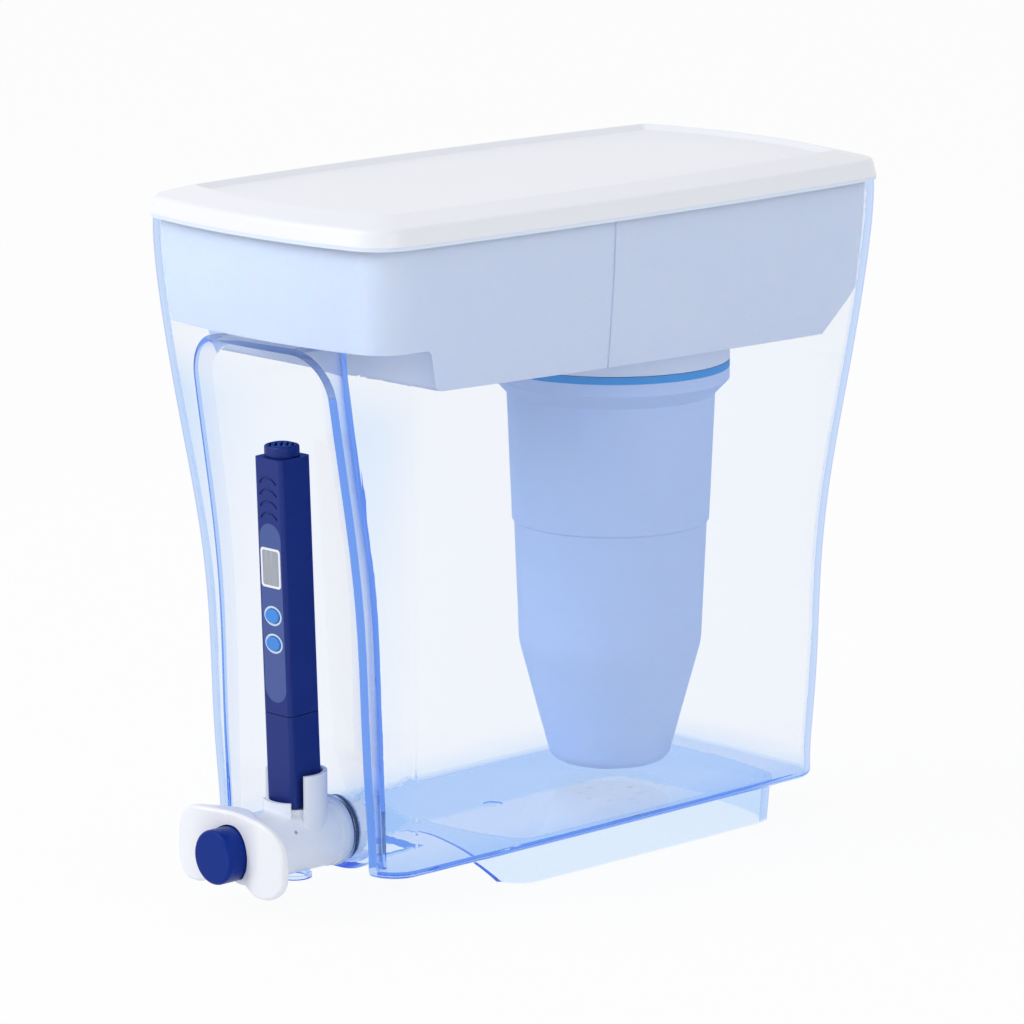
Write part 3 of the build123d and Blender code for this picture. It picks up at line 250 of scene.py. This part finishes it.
def metal(name, colour, roughness):
    """Bright metal with fine brushing."""
    material, tree, output = new_material(name)
    shader = principled(tree, output, Metallic=1.0, Roughness=roughness)
    shader.inputs["Base Color"].default_value = (*colour, 1.0)
    brush = noise(tree, 60.0, 2.0, (1.0, 12.0, 1.0))
    tree.links.new(remap(tree, brush, roughness * 0.8, roughness * 1.25), shader.inputs["Roughness"])
    return material


def display_glass(name, colour):
    """Grey display with faint upright streaks."""
    material, tree, output = new_material(name)
    shader = principled(tree, output, Roughness=0.18, Coat_Weight=0.6, Coat_Roughness=0.05)
    streaks = noise(tree, 120.0, 2.0, (6.0, 6.0, 0.25))
    lighter = tuple(min(c * 1.25, 1.0) for c in colour)
    tone = two_tone(tree, remap(tree, streaks, 0.0, 1.0), colour, lighter)
    tree.links.new(tone, shader.inputs["Base Color"])
    return material


def keyed_panel(name, colour, ring_colour):
    """Panel with a pale ring moulded round each key."""
    material, tree, output = new_material(name)
    shader = principled(tree, output, Roughness=0.42, Specular_IOR_Level=0.35)
    place = tree.nodes.new("ShaderNodeTexCoord")
    rings = [key_ring(tree, place.outputs["Object"], NODES[key]) for key in ("power_key", "hold_key")]
    share = joined(tree, "MAXIMUM", *rings)
    tree.links.new(two_tone(tree, share, colour, ring_colour), shader.inputs["Base Color"])
    return material


def key_ring(tree, place, key):
    """1 within a ring's width of a key, 0 further out."""
    low = [min(vertex.co[axis] for vertex in key.data.vertices) for axis in range(3)]
    high = [max(vertex.co[axis] for vertex in key.data.vertices) for axis in range(3)]
    half_width = (high[0] - low[0]) / 2 + KEY_RING_WIDTH
    half_height = (high[2] - low[2]) / 2 + KEY_RING_WIDTH
    offset = tree.nodes.new("ShaderNodeVectorMath")
    offset.operation = "SUBTRACT"
    offset.inputs[1].default_value = [(a + b) / 2 for a, b in zip(low, high)]
    tree.links.new(place, offset.inputs[0])
    share = tree.nodes.new("ShaderNodeVectorMath")
    share.operation = "MULTIPLY"
    share.inputs[1].default_value = (1.0 / half_width, 0.0, 1.0 / half_height)
    tree.links.new(offset.outputs["Vector"], share.inputs[0])
    length = tree.nodes.new("ShaderNodeVectorMath")
    length.operation = "LENGTH"
    tree.links.new(share.outputs["Vector"], length.inputs[0])
    return ramp(tree, length.outputs["Value"], *KEY_RING_EDGE)


# shade on each clear plastic is its painted blue shade, low down and at the front corners
CLEAR_BLUE = clear_plastic("clear_blue_plastic", (0.0, 0.42, 0.93), 8.0, painted_shade=(0.77, 0.88, 1.0))
SPOUT_CLEAR = clear_plastic("spout_clear_plastic", (0.0, 0.45, 0.95), 60.0, painted_shade=(0.8, 0.9, 1.0))
FROSTED = moulded("frosted_reservoir", srgb(230, 236, 251), 0.42, 0.015, 0.05, Subsurface_Weight=0.25,
                  Subsurface_Scale=0.004)
LID_WHITE = moulded("lid_white", srgb(240, 241, 247), 0.32, 0.01, 0.08)
FILTER_BLUE = moulded("filter_blue", srgb(196, 216, 252), 0.38, 0.015, 0.04, Subsurface_Weight=0.2,
                      Subsurface_Scale=0.004)
SEAL_BLUE = moulded("seal_blue", srgb(0, 150, 226), 0.55, Specular_IOR_Level=0.25)
MEMBRANE = moulded("membrane_white", srgb(225, 228, 232), 0.7)
FOAM = granular("foam_white", srgb(232, 234, 238), srgb(214, 218, 224), 700.0)
RESIN = granular("resin_amber", srgb(196, 158, 92), srgb(150, 108, 52), 900.0)
CARBON = granular("carbon_black", srgb(44, 44, 46), srgb(16, 16, 18), 900.0)
TAP_WHITE = moulded("tap_white", srgb(240, 245, 254), 0.30, 0.01)
WING_WHITE = moulded("wing_white", srgb(242, 243, 248), 0.30, 0.01)
BUTTON_BLUE = moulded("button_blue", srgb(0, 42, 132), 0.36, 0.03, 0.05, Specular_IOR_Level=0.14)
GASKET = moulded("gasket_pale_blue", srgb(206, 219, 243), 0.45, 0.02)
VALVE_RUBBER = moulded("valve_rubber", srgb(70, 70, 74), 0.7)
METER_BLUE = moulded("meter_blue", srgb(24, 46, 122), 0.38, 0.03, 0.10, Specular_IOR_Level=0.22)
PANEL_GREY = keyed_panel("panel_grey_blue", srgb(66, 86, 150), srgb(206, 222, 242))
BEZEL_WHITE = moulded("bezel_white", srgb(236, 238, 244), 0.35, 0.01)
DISPLAY = display_glass("display_grey", srgb(146, 152, 162))
KEY_BLUE = moulded("key_blue", srgb(52, 134, 222), 0.35, 0.06)
CELL_STEEL = metal("cell_steel", srgb(200, 202, 206), 0.3)
SPRING_STEEL = metal("spring_steel", srgb(190, 192, 196), 0.25)
PIN_METAL = metal("probe_metal", srgb(208, 208, 212), 0.15)
BOARD_GREEN = moulded("board_green", srgb(24, 96, 52), 0.4)
PROBE_WHITE = moulded("probe_white", srgb(228, 230, 234), 0.5)

FINISHES = {
    CLEAR_BLUE: ["tank_shell"],
    SPOUT_CLEAR: ["spout_nozzle"],
    FROSTED: ["reservoir_tray"],
    LID_WHITE: ["lid"],
    FILTER_BLUE: ["filter_cup", "filter_cap"],
    SEAL_BLUE: ["filter_seal_ring"],
    MEMBRANE: ["outlet_membrane", "coarse_screen"],
    FOAM: ["foam_distributor"],
    RESIN: ["resin_bed"],
    CARBON: ["carbon_bed"],
    TAP_WHITE: ["tap_body", "valve_stem", "stem_bush", "lock_nut"],
    WING_WHITE: ["wing_plate"],
    BUTTON_BLUE: ["tap_button"],
    GASKET: ["outer_gasket", "inner_gasket"],
    VALVE_RUBBER: ["valve_seal"],
    METER_BLUE: ["meter_cap", "meter_case", "battery_cap"],
    PANEL_GREY: ["face_panel"],
    BEZEL_WHITE: ["display_bezel"],
    DISPLAY: ["display_window"],
    KEY_BLUE: ["power_key", "hold_key"],
    CELL_STEEL: ["button_cells"],
    SPRING_STEEL: ["return_spring"],
    PIN_METAL: ["probe_pins"],
    BOARD_GREEN: ["circuit_board"],
    PROBE_WHITE: ["probe_block"],
}


def finish_node(node, material):
    """Gives a carried-over solid its finish."""
    if not node.material_slots:
        node.data.materials.append(material)
    for slot in node.material_slots:
        slot.material = material


for finish, names in FINISHES.items():
    for node_name in names:
        finish_node(NODES[node_name], finish)


# ---------------------------------------------------------------- studio
def floor():
    """Pale floor that keeps the object's shadow and shows white through the clear plastic."""
    mesh = bmesh.new()
    bmesh.ops.create_grid(mesh, x_segments=1, y_segments=1, size=FLOOR_SIZE)
    data = bpy.data.meshes.new("floor")
    mesh.to_mesh(data)
    mesh.free()
    plane = bpy.data.objects.new("floor", data)
    bpy.context.scene.collection.objects.link(plane)
    material, tree, output = new_material("floor_white")
    diffuse = tree.nodes.new("ShaderNodeBsdfDiffuse")
    diffuse.inputs["Color"].default_value = (*FLOOR_COLOUR, 1.0)
    glow = tree.nodes.new("ShaderNodeEmission")
    glow.inputs["Color"].default_value = (*WHITE, 1.0)
    glow.inputs["Strength"].default_value = 1.0
    mix = tree.nodes.new("ShaderNodeMixShader")
    share = seen_directly(tree, FLOOR_WHITE_SHARE, FLOOR_WHITE_SHARE_IN_GLASS)
    tree.links.new(share, mix.inputs[0])
    tree.links.new(diffuse.outputs["BSDF"], mix.inputs[1])
    tree.links.new(glow.outputs["Emission"], mix.inputs[2])
    tree.links.new(mix.outputs["Shader"], output.inputs["Surface"])
    data.materials.append(material)


def seen_directly(tree, share, share_in_glass):
    """share for rays that show the backdrop itself or in gloss, share_in_glass through glass, else 0."""
    path = tree.nodes.new("ShaderNodeLightPath")
    seen = joined(tree, "MAXIMUM", path.outputs["Is Camera Ray"], path.outputs["Is Glossy Ray"])
    direct = scaled(tree, seen, share)
    in_glass = scaled(tree, path.outputs["Is Transmission Ray"], share_in_glass)
    return joined(tree, "MAXIMUM", direct, in_glass)


def scaled(tree, value, factor):
    """A value times a factor."""
    node = tree.nodes.new("ShaderNodeMath")
    node.operation = "MULTIPLY"
    node.inputs[1].default_value = factor
    tree.links.new(value, node.inputs[0])
    return node.outputs["Value"]


def world_light():
    """Even soft light, shown as white."""
    world = bpy.data.worlds.new("studio")
    bpy.context.scene.world = world
    world.use_nodes = True
    tree = world.node_tree
    tree.nodes.clear()
    output = tree.nodes.new("ShaderNodeOutputWorld")
    light = tree.nodes.new("ShaderNodeBackground")
    light.inputs["Color"].default_value = (*SKY_COLOUR, 1.0)
    light.inputs["Strength"].default_value = SKY_STRENGTH
    white = tree.nodes.new("ShaderNodeBackground")
    white.inputs["Color"].default_value = (*WHITE, 1.0)
    white.inputs["Strength"].default_value = 1.0
    mix = tree.nodes.new("ShaderNodeMixShader")
    tree.links.new(seen_directly(tree, 1.0, 1.0), mix.inputs[0])
    tree.links.new(light.outputs["Background"], mix.inputs[1])
    tree.links.new(white.outputs["Background"], mix.inputs[2])
    tree.links.new(mix.outputs["Shader"], output.inputs["Surface"])


def area_lamp(name, place, aim, size, watts):
    """Soft square lamp that faces a point."""
    data = bpy.data.lights.new(name, "AREA")
    data.shape = "SQUARE"
    data.size = size
    data.energy = watts
    lamp = bpy.data.objects.new(name, data)
    bpy.context.scene.collection.objects.link(lamp)
    lamp.location = place
    lamp.rotation_euler = (Vector(aim) - Vector(place)).to_track_quat("-Z", "Y").to_euler()


def camera():
    """Camera at a three-quarter view from the front."""
    azimuth = math.radians(CAMERA_AZIMUTH)
    elevation = math.radians(CAMERA_ELEVATION)
    right = Vector((math.cos(azimuth), math.sin(azimuth), 0.0))
    back = Vector((math.sin(azimuth) * math.cos(elevation), -math.cos(azimuth) * math.cos(elevation),
                   math.sin(elevation)))
    up = back.cross(right)
    data = bpy.data.cameras.new("camera")
    data.sensor_width = SENSOR_WIDTH
    data.lens = CAMERA_LENS
    data.clip_end = VIEW_DEPTH
    view = bpy.data.objects.new("camera", data)
    bpy.context.scene.collection.objects.link(view)
    place = CAMERA_TARGET + right * CAMERA_SIDE_SHIFT + back * CAMERA_DISTANCE
    turn = Matrix((right, up, back)).transposed().to_4x4()
    view.matrix_world = Matrix.Translation(place) @ turn
    bpy.context.scene.camera = view


camera()
world_light()
floor()
area_lamp("key_lamp", (-0.7, -1.6, 1.3), LAMP_AIM, 1.2, 14.5)
area_lamp("side_lamp", (1.9, -0.4, 0.9), LAMP_AIM, 1.0, 4.0)

bpy.context.scene.view_settings.view_transform = "Standard"
bpy.context.scene.cycles.max_bounces = 32
bpy.context.scene.cycles.transmission_bounces = 32
bpy.context.scene.cycles.glossy_bounces = 24
bpy.context.scene.cycles.transparent_max_bounces = 32
